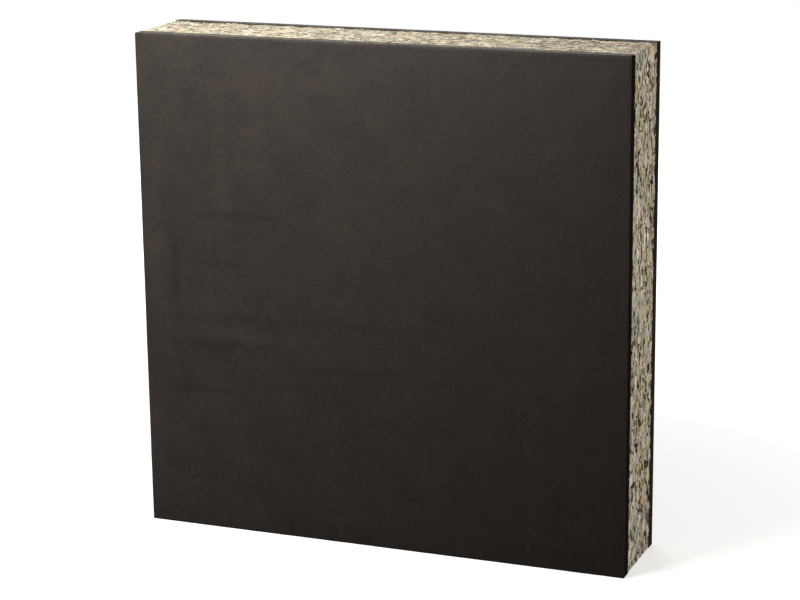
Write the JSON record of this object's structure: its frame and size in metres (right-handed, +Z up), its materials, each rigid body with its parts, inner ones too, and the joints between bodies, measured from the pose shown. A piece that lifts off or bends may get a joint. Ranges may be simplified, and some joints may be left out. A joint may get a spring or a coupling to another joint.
{
  "type": "wall punch pad",
  "caption": "Square wall-mounted punching pad: black foam face, bonded foam chip core and black backing board with recessed keyhole hangers.",
  "frame": {"origin": "centre of the pad's bottom side, at the bottom centre of its bounding box", "axes": "+Z up, the struck face looks along -Y, the back that lies on the wall looks along +Y, +X is to the right seen from the front"},
  "size_m": [0.5, 0.1, 0.5],
  "materials": {
    "face_foam": "matte dark charcoal closed-cell foam sheet with a fine grain",
    "chip_foam": "cream polyurethane foam chips bonded with black, brown and coloured chips, saw cut",
    "glue": "dried amber contact adhesive",
    "black_board": "plywood with a matte black film face and black sealed edges",
    "zinc_steel": "bright zinc-plated sheet steel",
    "screw_steel": "yellow zinc-plated steel"
  },
  "bodies": {
    "root": {"face_sheet": "face_foam", "face_glue_film": "glue", "foam_core": "chip_foam", "back_glue_film": "glue", "back_board": "black_board", "left_keyhole_plate": "zinc_steel", "right_keyhole_plate": "zinc_steel", "left_upper_screw": "screw_steel", "left_lower_screw": "screw_steel", "right_upper_screw": "screw_steel", "right_lower_screw": "screw_steel"}
  },
  "joints": []
}
